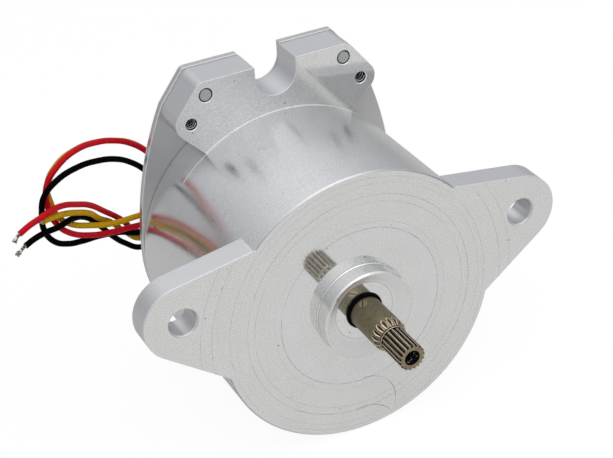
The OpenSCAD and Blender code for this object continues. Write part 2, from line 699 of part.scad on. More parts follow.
// Unit tangents of a route, and side vectors carried along it without twist
function tangents(route) = [
    for (i = [0 : len(route) - 1])
        unit(route[min(i + 1, len(route) - 1)] - route[max(i - 1, 0)])
];
function carried(sides, heads, i) =
    i == len(heads) ? sides
    : let (last = sides[i - 1])
      carried(concat(sides, [unit(last - (last * heads[i]) * heads[i])]), heads, i + 1);

// Round tube swept along a route by rings of points
module tube(route, diameter, sides) {
    heads = tangents(route);
    first = unit(cross(heads[0], [0, 0, 1]));
    normals = carried([first], heads, 1);
    points = [
        for (i = [0 : len(route) - 1])
            let (u = normals[i], v = cross(heads[i], normals[i]))
            for (k = [0 : sides - 1])
                route[i] + diameter / 2 * (cos(360 * k / sides) * u + sin(360 * k / sides) * v)
    ];
    walls = [
        for (i = [0 : len(route) - 2], k = [0 : sides - 1])
            let (a = i * sides + k, b = i * sides + (k + 1) % sides)
            each [[a, b + sides, b], [a, a + sides, b + sides]]
    ];
    start_cap = [for (k = [0 : sides - 1]) k];
    last_ring = (len(route) - 1) * sides;
    end_cap = [for (k = [sides - 1 : -1 : 0]) last_ring + k];
    polyhedron(points, concat(walls, [end_cap, start_cap]), convexity = 8);
}

module red_lead() { color("#b8141f") tube(red_route, lead_d, lead_sides); }
module yellow_lead() { color("#c8960c") tube(yellow_route, lead_d, lead_sides); }
module black_lead() { color("#101010") tube(black_route, lead_d, lead_sides); }

// Bare twisted end of a lead, starting at its cut insulation
module strands(route, tip) {
    cut = route[len(route) - 1];
    lead_dir = unit(cut - route[len(route) - 2]);
    color("#b9b4a6") tube([cut, cut + lead_dir * norm(tip - cut) * 0.4, tip], strand_d, lead_sides);
}

module red_strands() { strands(red_route, red_tip); }
module yellow_strands() { strands(yellow_route, yellow_tip); }
module black_strands() { strands(black_route, black_tip); }

front_housing();
rear_cover();
cover_seal_ring();
cover_screws();
dowel_pins();
lead_grommet();
shaft();
shaft_seal();
bearing_circlip();
preload_spring();
front_bearing_outer();
front_bearing_inner();
front_bearing_cage();
front_bearing_balls();
front_bearing_shields();
rear_bearing_outer();
rear_bearing_inner();
rear_bearing_cage();
rear_bearing_balls();
rear_bearing_shields();
rotor_core();
magnet(1);  // magnet_1
magnet(2);  // magnet_2
magnet(3);  // magnet_3
magnet(4);  // magnet_4
magnet(5);  // magnet_5
magnet(6);  // magnet_6
magnet_sleeve();
stator_core();
front_insulator();
rear_insulator();
coil(1);  // coil_1
coil(2);  // coil_2
coil(3);  // coil_3
coil(4);  // coil_4
coil(5);  // coil_5
coil(6);  // coil_6
coil(7);  // coil_7
coil(8);  // coil_8
coil(9);  // coil_9
star_ring();
red_lead();
yellow_lead();
black_lead();
red_strands();
yellow_strands();
black_strands();
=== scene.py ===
import math

import bpy
from mathutils import Matrix, Vector


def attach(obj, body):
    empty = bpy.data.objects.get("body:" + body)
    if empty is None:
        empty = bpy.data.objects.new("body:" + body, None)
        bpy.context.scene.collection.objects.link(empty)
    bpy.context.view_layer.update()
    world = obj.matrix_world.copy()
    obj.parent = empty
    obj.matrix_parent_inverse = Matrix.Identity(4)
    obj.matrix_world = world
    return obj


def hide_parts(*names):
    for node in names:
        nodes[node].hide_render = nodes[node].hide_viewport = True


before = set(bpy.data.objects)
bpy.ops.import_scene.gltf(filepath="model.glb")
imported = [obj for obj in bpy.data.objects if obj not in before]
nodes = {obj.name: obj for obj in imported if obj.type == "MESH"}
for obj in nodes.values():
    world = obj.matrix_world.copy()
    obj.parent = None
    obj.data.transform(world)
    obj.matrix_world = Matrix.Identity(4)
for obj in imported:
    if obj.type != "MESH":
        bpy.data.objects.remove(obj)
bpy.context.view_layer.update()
bpy.ops.object.select_all(action="DESELECT")
scene = bpy.context.scene

# Camera: a long lens above and to the left of the shaft, rolled slightly. It looks down on the
# flange, the shaft's splined end and the bracket pad on top.
camera_data = bpy.data.cameras.new("camera")
camera_data.sensor_width = 36
camera_data.lens = 93.617
camera_data.clip_start = 0.02
camera = bpy.data.objects.new("camera", camera_data)
camera.location = (-0.20791, -0.40487, 0.30948)
camera.rotation_euler = (math.radians(58.640), math.radians(3.3615), math.radians(-27.0932))
scene.collection.objects.link(camera)
scene.camera = camera

# Leads: stranded copper wires in smooth coloured insulation, which leave the grommet in the rear
# cover, go once round in a loose loop beside the motor and end cut off. Routes are in millimetres.
LEAD_D = 0.0022
lead_routes = {
    "red": [
        (-30, 74.5, 5), (-30.5, 78, 5), (-33.5, 81.5, 5), (-39, 83, 5.5), (-49, 82, 7), (-60.5, 78, 10),
        (-69.5, 74.5, 13.5), (-78, 71, 19), (-83, 69, 25.5), (-85, 69, 32.5), (-84, 70.5, 40),
        (-78, 73, 45.5), (-69.5, 76, 48), (-61.5, 79, 47), (-53.5, 82, 44), (-46.5, 84.5, 39.5),
        (-40.5, 86.5, 33.5), (-35, 88.5, 26), (-32, 90, 17), (-32.5, 91.5, 8), (-36, 91.5, 1.5),
        (-41, 90, -1), (-47, 88, 0.5), (-54.5, 85, 10), (-61.5, 80, 18), (-68.5, 75, 25.5),
        (-74, 71, 29.5), (-80, 67, 33), (-85.5, 63.5, 34.5), (-91, 61, 34), (-95, 59.5, 33.5),
        (-99, 58.5, 32),
    ],
    "yellow": [
        (-28, 74.5, 8.5), (-28.5, 78.5, 8.5), (-31, 82, 9), (-37.5, 84.5, 9.5), (-48.5, 82, 11),
        (-60, 78, 13.5), (-68.5, 75, 17), (-77.5, 72.5, 22), (-81.5, 71.5, 27), (-83, 72, 32.5),
        (-83, 73.5, 38.5), (-77.5, 76.5, 44), (-69, 79, 46.5), (-61, 82, 45.5), (-53, 85, 42.5),
        (-45.5, 88, 38), (-39.5, 90, 32), (-33.5, 92, 25), (-30.5, 93.5, 16), (-31, 95, 6.5),
        (-35, 95, -1), (-40.5, 93, -4.5), (-46.5, 90, -3.5), (-53, 87.5, 3), (-59, 83.5, 11),
        (-64, 79.6, 16), (-69, 74.7, 22.4), (-74.5, 71, 26.3), (-80, 67.5, 29.3), (-85.5, 64.5, 31),
        (-89.5, 62.5, 31.8),
    ],
    "black": [
        (-26, 74.5, 5), (-26, 79.5, 4.5), (-28.5, 84.5, 3.5), (-36.5, 87.5, 2), (-47.5, 85, 2),
        (-56.5, 82, 6.5), (-65.5, 78, 10), (-73.5, 74, 12.5), (-79.5, 71, 15), (-84.5, 69, 18.5),
        (-88, 67.5, 25), (-88.2, 66.5, 32.5), (-86.5, 65.8, 39.3), (-81, 68, 42.5), (-71.5, 72.5, 43),
        (-62, 77.5, 40.5), (-54.5, 81.5, 37), (-48, 85.5, 32), (-43, 87.5, 27), (-39, 90.5, 20.5),
        (-36.5, 94.5, 12.5), (-35, 98, 4), (-36, 98, -3.5), (-40.5, 94.5, -8), (-46.5, 90, -7.5),
        (-53.5, 87.5, -2), (-58.5, 85, 4), (-64.5, 81, 13), (-70, 76.5, 20.1), (-77, 70.3, 24.8),
        (-83.5, 65.5, 26), (-88.5, 63, 27), (-93.5, 61, 27), (-97.5, 59, 26.5),
    ],
}
lead_colours = {
    "red": (0.77, 0.003, 0.016, 1),
    "yellow": (0.75, 0.43, 0.0005, 1),
    "black": (0.0025, 0.0025, 0.003, 1),
}
lead_sheens = {"red": 0.12, "yellow": 0.12, "black": 0.01}


def metres(place):
    """A point of a route, in metres."""
    return Vector(place) / 1000


class Shade:
    """One socket of a material's nodes: sums and products on it add Math nodes."""

    def __init__(self, tree, socket=None):
        self.tree = tree
        self.socket = socket

    def node(self, kind, settings, sockets, output=0):
        made = self.tree.nodes.new(kind)
        for name, value in settings.items():
            if name == "stops":
                ramp = made.color_ramp.elements
                ramp[0].position, ramp[0].color = value[0]
                ramp[1].position, ramp[1].color = value[-1]
                for place, colour in value[1:-1]:
                    ramp.new(place).color = colour
            else:
                setattr(made, name, value)
        for name, value in sockets.items():
            if isinstance(value, Shade):
                self.tree.links.new(value.socket, made.inputs[name])
            else:
                made.inputs[name].default_value = value
        return Shade(self.tree, made.outputs[output]) if made.outputs else None

    def other(self, output):
        """Another output of the node that this value comes from."""
        return Shade(self.tree, self.socket.node.outputs[output])

    def math(self, operation, *values):
        return self.node("ShaderNodeMath", {"operation": operation}, dict(enumerate((self,) + values)))

    def __add__(self, other):
        return self.math("ADD", other)

    def __sub__(self, other):
        return self.math("SUBTRACT", other)

    def __rsub__(self, other):
        return self.node("ShaderNodeMath", {"operation": "SUBTRACT"}, {0: other, 1: self})

    def __mul__(self, other):
        return self.math("MULTIPLY", other)

    __radd__ = __add__
    __rmul__ = __mul__

    def __truediv__(self, other):
        return self.math("DIVIDE", other)

    def __lt__(self, other):
        return self.math("LESS_THAN", other)

    def __gt__(self, other):
        return self.math("GREATER_THAN", other)

    def __abs__(self):
        return self.math("ABSOLUTE")

    def at_most_one(self):
        return self.math("MINIMUM", 1)

    def feed(self, name):
        """Links this value to the material's own shader."""
        shader = self.tree.nodes["Principled BSDF"]
        self.tree.links.new(self.socket, shader.inputs[name])


def new_material(name, **values):
    """A material with its shader's constants set, and the piece's own coordinates in it."""
    material = bpy.data.materials.new(name)
    material.use_nodes = True
    tree = material.node_tree
    shader = tree.nodes["Principled BSDF"]
    for socket, value in values.items():
        shader.inputs[socket.replace("_", " ")].default_value = value
    return material, Shade(tree).node("ShaderNodeTexCoord", {}, {}, "Object")


def clouds(here, scale, detail, roughness=0.5):
    """Soft random patches, with scale as their number in a metre."""
    sockets = {"Vector": here, "Scale": scale, "Detail": detail, "Roughness": roughness}
    return here.node("ShaderNodeTexNoise", {}, sockets)


def blend_colours(amount, first, second):
    """Mixes two colours by an amount from 0 to 1, which are a Mix node's sockets 6, 7 and 0."""
    return amount.node("ShaderNodeMix", {"data_type": "RGBA"}, {0: amount, 6: first, 7: second}, 2)


def relief(height, strength, distance, **normal):
    """Bumps of a height, on the surface's own normal or on one that is given."""
    sockets = {"Strength": strength, "Distance": distance, "Height": height}
    return height.node("ShaderNodeBump", {}, {**sockets, **normal})


leads = {}
for colour, route in lead_routes.items():
    material, here = new_material("lead_" + colour, Specular_IOR_Level=lead_sheens[colour])
    cloud = clouds(here, 420, 3)
    paint = lead_colours[colour]
    dim = tuple(0.72 * part for part in paint[:3]) + (1,)
    blend_colours(cloud, dim, paint).feed("Base Color")
    (0.24 + 0.2 * cloud).feed("Roughness")
    relief(clouds(here, 2600, 2), 0.12, 0.0001).feed("Normal")
    curve = bpy.data.curves.new(colour + "_insulation", "CURVE")
    curve.dimensions = "3D"
    curve.bevel_depth = LEAD_D / 2
    curve.bevel_resolution = 5
    curve.resolution_u = 6
    curve.use_fill_caps = True
    spline = curve.splines.new("BEZIER")
    spline.bezier_points.add(len(route) - 1)
    for point, place in zip(spline.bezier_points, route):
        point.co = metres(place)
        point.handle_left_type = "AUTO"
        point.handle_right_type = "AUTO"
    lead = bpy.data.objects.new(colour + "_insulation", curve)
    scene.collection.objects.link(lead)
    curve.materials.append(material)
    leads[colour] = lead

# Stripped ends: the last few millimetres of each lead, bare of insulation. Seven tinned copper
# strands are twisted together there and spread a little towards the tip.
STRANDS = 7
STRAND_R = 0.00024
STRAND_RING_R = 0.00046
STRAND_STEPS = 24
lead_tips = {"red": (-101.5, 57.5, 30), "yellow": (-91.9, 63.6, 32.9), "black": (-101.5, 57, 25)}
strands_material, here = new_material("tinned_strands", Metallic=1)
stain = clouds(here, 1100, 2)
stain = stain.node("ShaderNodeMapRange", {}, {"Value": stain, "From Min": 0.38, "From Max": 0.62})
blend_colours(stain, (0.08, 0.065, 0.05, 1), (0.92, 0.88, 0.80, 1)).feed("Base Color")
(0.2 + 0.3 * stain).feed("Roughness")
for colour, tip in lead_tips.items():
    cut = metres(lead_routes[colour][-1])
    before = metres(lead_routes[colour][-2])
    tip = metres(tip)
    heading = (cut - before).normalized()
    middle = cut + heading * (tip - cut).length * 0.4
    curve = bpy.data.curves.new(colour + "_twist", "CURVE")
    curve.dimensions = "3D"
    curve.bevel_depth = STRAND_R
    curve.bevel_resolution = 3
    curve.use_fill_caps = True
    for strand in range(STRANDS):
        spline = curve.splines.new("POLY")
        spline.points.add(STRAND_STEPS)
        for step in range(STRAND_STEPS + 1):
            along = step / STRAND_STEPS
            core = cut * (1 - along) ** 2 + middle * 2 * along * (1 - along) + tip * along ** 2
            ahead = ((middle - cut) * (1 - along) + (tip - middle) * along).normalized()
            side = ahead.cross(Vector((0, 0, 1))).normalized()
            other = ahead.cross(side)
            turn = math.radians(60 * strand + 260 * along)
            spread = 1 - 0.2 * math.sin(math.pi * along) + 0.5 * along ** 3 * (strand % 3)
            away = 0 if strand == STRANDS - 1 else STRAND_RING_R * spread
            place = core + (side * math.cos(turn) + other * math.sin(turn)) * away
            spline.points[step].co = (place.x, place.y, place.z, 1)
    bundle = bpy.data.objects.new(colour + "_twist", curve)
    scene.collection.objects.link(bundle)
    bundle.select_set(True)
    bpy.context.view_layer.objects.active = bundle
    bpy.ops.object.convert(target="MESH")
    bundle.data.materials.append(strands_material)
    bundle.select_set(False)
    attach(bundle, "housing")
    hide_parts(colour + "_strands")

for colour, lead in leads.items():
    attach(lead, "housing")
    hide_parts(colour + "_lead")
    "lead_" + colour

# Housing: one block of aluminium. Its mounting face is skimmed to a near mirror, on which the
# milling cutter's rounds still show as fine arcs; barrel, ears and pad are finely machined.
BARREL_R = 0.052
PILOT_R = 0.017
DISH_R = 0.0160
SEAL_SEAT_R = 0.0111
PAD_Y = 0.0565
BACK_Y = 0.070
TAP_X, TAP_Z, TAP_R = 0.0334, 0.0557, 0.0021
PIN_X, PIN_Z, PIN_R = 0.027, 0.0653, 0.0025
# Each arc round the shaft: its radius in millimetres and how strongly it shows.
face_arcs = (
    (30.7, 1.0), (33.2, 0.35), (40.5, 0.55), (43.2, 0.9), (47.4, 0.4), (49.7, 0.5), (56.3, 0.6),
    (60.4, 0.5),
)
# Each loop beside them: centre, radius, left end and lower end in millimetres, and strength.
face_loops = (
    (-0.5, -42.9, 12.7, -0.5, -47, 2.0),
    (-1.0, -55.6, 12.9, -4, -56, 1.7),
    (-24.6, 9.6, 29.3, -55, -30, 0.25),
)
# Near white for the painted highlights along the housing's and the cover's edges.
painted_highlight_white = (0.97, 0.97, 0.97, 1)


def places(here):
    """A piece's own coordinates, one by one."""
    split = here.node("ShaderNodeSeparateXYZ", {}, {"Vector": here})
    return split, split.other("Y"), split.other("Z")


def distance(across, along):
    """The distance to a line, from two distances at right angles."""
    return (across * across + along * along).math("SQRT")


def facing_back(here):
    """1 on a surface that faces the rear, -1 on one that faces the front."""
    return here.node("ShaderNodeSeparateXYZ", {}, {"Vector": here.other("Normal")}, "Y")


def streaks(count, detail):
    """Random lines across a value that counts them, such as a cutter leaves."""
    sockets = {"W": count, "Scale": 1, "Detail": detail}
    return count.node("ShaderNodeTexNoise", {"noise_dimensions": "1D"}, sockets)


def band(value, middle, half_width):
    """1 in the middle of a band of values, falling to 0 at its edges."""
    return (1 - abs(value - middle) / half_width).math("MAXIMUM", 0)


def worn_and_glinting_edges(here, width, most):
    """The normal with edges rounded over by width, and how much of an edge is painted bright: partly rubbed
    wear, partly a painted highlight.
    """
    rounded = here.node("ShaderNodeBevel", {"samples": 4}, {"Radius": width})
    straight = here.node("ShaderNodeNewGeometry", {}, {}, "Normal")
    dot = {"operation": "DOT_PRODUCT"}
    turned = here.node("ShaderNodeVectorMath", dot, {0: rounded, 1: straight}, "Value")
    limits = {"From Min": 0.985, "From Max": 0.90, "To Max": most}
    return rounded, here.node("ShaderNodeMapRange", {}, {"Value": turned, **limits})


def dress(material, *names):
    """Gives CAD pieces their material."""
    for name in names:
        nodes[name].data.materials.clear()
        nodes[name].data.materials.append(material)


housing_material, here = new_material("machined_aluminium")
x, y, z = places(here)
radius = distance(x, z)
facing = facing_back(here)
front = facing < -0.9
dish = (facing < -0.6) * (radius < (DISH_R + 0.0003))
cone = dish * (facing > -0.97)
mirror = front * (1 - cone)
face = front * (y < 0.0001) * (y > -0.0001)
barrel = (radius < (BARREL_R + 0.0003)) * (radius > (BARREL_R - 0.0003)) * (1 - (abs(facing) > 0.7))
milled = (1 - front) * (radius > (BARREL_R + 0.0004))
chamfer = (facing > -0.9) * (facing < -0.4) * (radius > 0.05) * (y < 0.002)
tapped = (distance(abs(x) - TAP_X, z - TAP_Z) < (TAP_R + 0.00012)) * (y > (PAD_Y - 0.0001))
fitted = (distance(abs(x) - PIN_X, z - PIN_Z) < (PIN_R + 0.00012)) * (y > 0.05)

breaks = clouds(here, 260, 2, 0.7)
broken = breaks.node("ShaderNodeMapRange", {}, {"Value": breaks, "From Min": 0.36, "From Max": 0.62})
patchy = clouds(here, 36, 2)
arcs = 0
for ring_r, strength in face_arcs:
    arcs = band(radius, ring_r / 1000, 0.00022) * strength + arcs
for loop_x, loop_z, loop_r, left, bottom, strength in face_loops:
    loop = band(distance(x - loop_x / 1000, z - loop_z / 1000), loop_r / 1000, 0.0002)
    arcs = loop * (x > left / 1000) * (z > bottom / 1000) * strength + arcs
arcs = arcs * (0.45 + 0.9 * broken) * (0.55 + 0.45 * (patchy > 0.45)) * face
halo = band(radius, 0.0283, 0.0026) * face
grain = clouds(here, 2100, 2, 0.6)
mottle = clouds(here, 90, 4, 0.6)
smear = clouds(here, 28, 3, 0.55)
lines = streaks(y * 3400, 4)
rings = streaks(radius * 5200, 3)
pits = (clouds(here, 640, 1) > 0.765) * (patchy > 0.48)
# Dark lines: a real seam at the cover joint on the barrel, and painted shade at the pilot's foot, the dish's
# rim and the seal seat's step.
seams = band(radius, PILOT_R + 0.00035, 0.00016) * face
seams = seams + band(radius, DISH_R, 0.00016) * (facing < -0.85) * (y < -0.0035)
seams = seams + 0.6 * band(radius, SEAL_SEAT_R, 0.0002) * dish
seams = seams + band(y, BACK_Y - 0.0002, 0.0004) * barrel
pilot_foot = band(radius, PILOT_R + 0.0002, 0.0004) * (1 - front) * (y < -0.0004)
# Painted highlights: thin near-white lines along the front edges of the pad and of the flange and ears, with
# less metal so they show white.
milled_edge_highlight = (1.6 * (band(y, PAD_Y + 0.0002, 0.00035) + band(y, 0.0005, 0.00035)) * milled).at_most_one()
milled_edge_highlight = milled_edge_highlight * (1 - tapped) * (1 - fitted)
# Painted highlight: a near-white line round the barrel at the foot of the pad.
pad_foot_highlight = (1.5 * band(y, PAD_Y - 0.0003, 0.00035) * (z > 0.0345) * barrel).at_most_one()

tone = 0.5 + (2.1 + 1.3 * face + 2.4 * barrel) * (grain - 0.5) + 0.4 * (mottle - 0.5)
tone = tone + 0.5 * dish * (rings - 0.5) + 0.5 * barrel * (smear - 0.5)
metal = blend_colours(tone, (0.755, 0.755, 0.742, 1), (0.965, 0.965, 0.952, 1))
for amount, colour in (
    (0.4 * halo, (0.87, 0.88, 0.915, 1)),
    (0.5 * arcs, (0.20, 0.195, 0.18, 1)),
    (0.7 * pits, (0.10, 0.10, 0.11, 1)),
    (0.7 * milled, (0.58, 0.59, 0.62, 1)),
    (0.7 * chamfer, (0.42, 0.42, 0.43, 1)),
    (0.4 * barrel, (0.62, 0.625, 0.645, 1)),
    (0.6 * cone, (0.98, 0.98, 0.97, 1)),
    (0.6 * seams.at_most_one(), (0.16, 0.16, 0.155, 1)),
    # Painted shade: the walls of the tapped and pin holes near black.
    ((tapped + fitted).at_most_one(), (0.008, 0.008, 0.008, 1)),
    (milled_edge_highlight, painted_highlight_white),
    (pad_foot_highlight, painted_highlight_white),
    (0.2 * pilot_foot, (0.35, 0.35, 0.36, 1)),
):
    metal = blend_colours(amount, metal, colour)
rounded, edge = worn_and_glinting_edges(here, 0.00018, 0.9)
# Edges painted near white with less metal: rubbed wear and a painted highlight.
blend_colours(edge * (1 - tapped) * (1 - fitted), metal, (0.95, 0.95, 0.95, 1)).feed("Base Color")
shine = 0.93 - 0.12 * face - 0.20 * cone - 0.6 * pad_foot_highlight - 0.5 * milled_edge_highlight - 0.2 * milled
(shine - 0.4 * edge * (1 - tapped)).math("MAXIMUM", 0.1).feed("Metallic")
rough = 0.17 + 0.10 * (smear - 0.5) + 0.06 * (lines - 0.5)
rough = rough + 0.25 * cone + 0.18 * milled + 0.35 * pad_foot_highlight + 0.3 * tapped
(mirror * (0.045 + 0.04 * mottle) + (1 - mirror) * rough).feed("Roughness")
height = mirror * ((0.06 + 0.2 * face) * grain + 0.5 * dish * rings)
height = height + (1 - mirror) * (0.6 * lines + 0.4 * grain)
shallow = here.node("ShaderNodeCombineXYZ", {}, {"Y": cone * -1.6})
shallow = here.node("ShaderNodeVectorMath", {}, {0: rounded, 1: shallow})
shallow = here.node("ShaderNodeVectorMath", {"operation": "NORMALIZE"}, {0: shallow})
surface = relief(height, 0.10, 0.00002, Normal=shallow)
relief(streaks(y * 2800, 2) * barrel, 0.7, 0.00004, Normal=surface).feed("Normal")
dress(housing_material, "front_housing")

# Threads of the two tapped holes in the pad: the cut thread's crests, one ridge wound along each
# hole's wall, in the housing's own aluminium, painted near white with little metal as a highlight.
POINT_BACK = Matrix.Rotation(math.radians(-90), 4, "X")  # for a piece that is modelled standing up
RIDGE_H = 0.0003
thread_material, here = new_material("cut_thread", Metallic=0.3)
stain = clouds(here, 900, 3)
blend_colours(stain, (0.88, 0.88, 0.85, 1), (1.0, 1.0, 0.98, 1)).feed("Base Color")
(0.24 + 0.2 * stain).feed("Roughness")


def thread_ridge(name, centre_x, centre_z, start_y, end_y, wall_r, pitch):
    """A helical ridge inside a hole along y, made from one triangle by a Screw modifier."""
    bpy.ops.mesh.primitive_circle_add(vertices=3, radius=RIDGE_H, location=(0, 0, 0))
    ridge = bpy.context.object
    ridge.name = name
    foot = wall_r + 0.00002
    corners = ((foot, -0.17 * pitch), (foot, 0.17 * pitch), (wall_r - RIDGE_H, 0))
    for vertex, (out, up) in zip(ridge.data.vertices, corners):
        vertex.co = (out, 0, up)
    winding = ridge.modifiers.new("winding", "SCREW")
    winding.axis = "Z"
    winding.steps = 24
    winding.render_steps = 24
    winding.screw_offset = pitch
    winding.iterations = int((end_y - start_y) / pitch)
    winding.use_merge_vertices = False
    bpy.ops.object.modifier_apply(modifier="winding")
    bpy.ops.object.mode_set(mode="EDIT")
    bpy.ops.mesh.select_all(action="SELECT")
    bpy.ops.mesh.normals_make_consistent(inside=False)
    bpy.ops.object.mode_set(mode="OBJECT")
    ridge.data.transform(Matrix.Translation((centre_x, start_y + 0.5 * pitch, centre_z)) @ POINT_BACK)
    ridge.select_set(False)
    return ridge


for side, name in ((-1, "pad_thread_left"), (1, "pad_thread_right")):
    ridge = thread_ridge(
        name, side * TAP_X, TAP_Z, start_y=PAD_Y + 0.0003, end_y=0.0690, wall_r=TAP_R, pitch=0.0014
    )
    ridge.data.materials.append(thread_material)
    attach(ridge, "housing")

# Dowel pins: two hardened and ground steel pins, pressed through the cover and the pad, with
# their ends lapped flush and painted shade in a dark ring round them, where the gap is.
pin_material, here = new_material("ground_pin", Metallic=0.8)
x, _, z = places(here)
# Painted shade: a dark ring round each pin's end, where the gap is.
gap_shade = distance(abs(x) - PIN_X, z - PIN_Z) > (PIN_R - 0.0004)
haze = clouds(here, 1100, 3)
ground = blend_colours(haze, (0.42, 0.46, 0.42, 1), (0.60, 0.64, 0.60, 1))
blend_colours(0.75 * gap_shade, ground, (0.07, 0.07, 0.065, 1)).feed("Base Color")
(0.18 + 0.2 * haze).feed("Roughness")
relief(haze, 0.1, 0.00002).feed("Normal")
dress(pin_material, "dowel_pins")

# Rear cover: an aluminium plate milled to the pad's outline, with turned marks on its back. Its
# spigot sits in the barrel, and six screws hold it to the housing.
COVER_T = 0.003
cover_material, here = new_material("cover_aluminium")
x, y, z = places(here)
radius = distance(x, z)
facing = facing_back(here)
rings = streaks(radius * 3600, 3)
grain = clouds(here, 1800, 3)
mottle = clouds(here, 80, 4)
tone = 0.5 + 0.5 * (rings - 0.5) + 0.4 * (grain - 0.5) + 0.4 * (mottle - 0.5)
metal = blend_colours(tone, (0.66, 0.66, 0.65, 1), (0.90, 0.90, 0.89, 1))
back = y > (BACK_Y + COVER_T - 0.0001)
turned = band(radius, 0.0150, 0.0003) + band(radius, 0.0226, 0.00025) + 0.7 * band(radius, 0.0385, 0.0003)
metal = blend_colours(0.5 * turned * back, metal, (0.30, 0.30, 0.30, 1))
metal = blend_colours(0.4 * (y < (BACK_Y + COVER_T - 0.0003)), metal, (0.40, 0.40, 0.41, 1))
rounded, edge = worn_and_glinting_edges(here, 0.00025, 0.5)
# Painted highlight: a near-white band round the cover's side at the joint, with less metal.
glint = (3 * band(y, BACK_Y + 0.0002, 0.0006) * (abs(facing) < 0.5)).at_most_one()
blend_colours(edge.math("MAXIMUM", glint), metal, painted_highlight_white).feed("Base Color")
(0.9 - 0.8 * glint).feed("Metallic")
(0.24 + 0.12 * mottle + 0.06 * rings).feed("Roughness")
relief(0.7 * rings + 0.3 * grain, 0.15, 0.00002, Normal=rounded).feed("Normal")
dress(cover_material, "rear_cover")

# Shaft: turned steel with an olive bronze tone from its heat treatment. Its teeth are hobbed, with
# painted highlights on the edges of the cutter's run-outs and painted shade in the gaps, and the
# plain part beside the seal has a brown bruise.
TEETH = 18
SHAFT_R = 0.006
FLANK_R = 0.00470
ROOT_R = 0.00445
END_BORE_R = 0.0025
RUN_OUT_Y = -0.0179
SHOULDER_Y = -0.0199
COLLAR_Y = -0.02245
TEETH_Y = -0.0229
SHAFT_END_Y = -0.035
BRUISE_X, BRUISE_Y, SCRATCH_Y = -0.0022, -0.0058, -0.0055
shaft_material, here = new_material("shaft_steel", Metallic=0.9)
x, y, z = places(here)
radius = distance(x, z)
lines = streaks(y * 5200, 3)
cloud = clouds(here, 420, 5, 0.65)
specks = clouds(here, 2400, 2)
plain = (radius > (SHAFT_R - 0.00015)) * (y > SHOULDER_Y)
tone = 0.5 + 0.9 * (cloud - 0.5) + 0.5 * (lines - 0.5) + 1.6 * (specks - 0.5)
dull = blend_colours(tone, (0.135, 0.113, 0.065, 1), (0.32, 0.277, 0.18, 1))
bright = blend_colours(tone, (0.17, 0.13, 0.075, 1), (0.46, 0.38, 0.23, 1))
metal = blend_colours(plain, bright, dull)

bruise = (distance(x - BRUISE_X, (y - BRUISE_Y) * 0.8) + 0.0012 * (cloud - 0.5)) < 0.0013
scratch = band(x - BRUISE_X - (y - SCRATCH_Y) * 0.5, 0, 0.00035) * band(y, SCRATCH_Y, 0.0032) * (z > 0)
turn = z.math("ARCTAN2", x) * (TEETH / (2 * math.pi))
from_tooth = turn.math("PINGPONG", 0.5)
run = RUN_OUT_Y - y
# Half the width of a run-out, in teeth: it opens over 2 mm and then closes in on the gap.
flute = ((run / 0.002).math("SQRT") * 0.33).math("MINIMUM", 0.33 - 68 * (run - 0.002))
fluted = (run > 0) * (y > -0.02196) * (radius > 0.0049)
# Painted shade: the run-outs' hollows dark.
hollow_shade = (from_tooth > (0.54 - flute)) * (run > 0.0006) * fluted
# Painted highlights on the run-outs' rims, stronger on the side towards the light.
lit = 0.25 + 0.75 * (turn.math("FRACT") > 0.5)
rim_highlights = (1.8 * band(from_tooth, 0.5 - flute, 0.085) * (0.25 + 1.1 * cloud)).at_most_one() * fluted * lit
land = (from_tooth < (0.42 - flute)) * (y < SHOULDER_Y) * fluted
# Painted highlight: a bright ring on the collar between the run-outs and the teeth.
collar_highlight = (2 * band(y, COLLAR_Y, 0.00028) * (radius > 0.0048) * (radius < 0.0056)).at_most_one()
toothed = (y < TEETH_Y) * (y > (SHAFT_END_Y + 0.0001))
# Painted shade: the teeth's flanks, the gaps' floors and the grooves dark.
flank_shade = (radius < FLANK_R) * toothed
floor_shade = (radius < ROOT_R) * toothed
groove_shade = (radius < 0.00475) * (y > (TEETH_Y - 0.0001)) * (y < -0.0219)
# Painted highlight: a bright line along one side of each tooth's crest.
crest_highlight = (1.6 * band(turn.math("FRACT"), 0.87, 0.075)).at_most_one() * (radius > 0.0046)
# Painted shade: the end bore's wall near black.
bore_shade = (radius < (END_BORE_R + 0.0001)) * (y < (TEETH_Y - 0.0001))
for amount, colour in (
    (0.6 * bruise * (z > 0), (0.44, 0.34, 0.24, 1)),
    ((1.6 * scratch).at_most_one(), (0.035, 0.016, 0.008, 1)),
    (0.7 * land, (0.13, 0.09, 0.05, 1)),
    (0.95 * hollow_shade, (0.04, 0.024, 0.013, 1)),
    (rim_highlights, (1.0, 0.90, 0.71, 1)),
    (collar_highlight, (1.0, 0.90, 0.74, 1)),
    (0.6 * toothed, (0.13, 0.082, 0.048, 1)),
    (crest_highlight * toothed, (0.98, 0.82, 0.60, 1)),
    (flank_shade, (0.06, 0.036, 0.02, 1)),
    ((floor_shade + groove_shade).at_most_one(), (0.012, 0.007, 0.004, 1)),
    (bore_shade, (0.010, 0.009, 0.008, 1)),
):
    metal = blend_colours(amount, metal, colour)
rounded, edge = worn_and_glinting_edges(here, 0.00010, 0.95)
# Edges painted pale: rubbed wear and a painted highlight.
blend_colours(edge * (1 - bore_shade), metal, (1.0, 0.93, 0.80, 1)).feed("Base Color")
(0.26 + 0.14 * cloud + 0.12 * plain).feed("Roughness")
relief(0.6 * lines + 0.4 * cloud, 0.2, 0.00002, Normal=rounded).feed("Normal")
dress(shaft_material, "shaft")

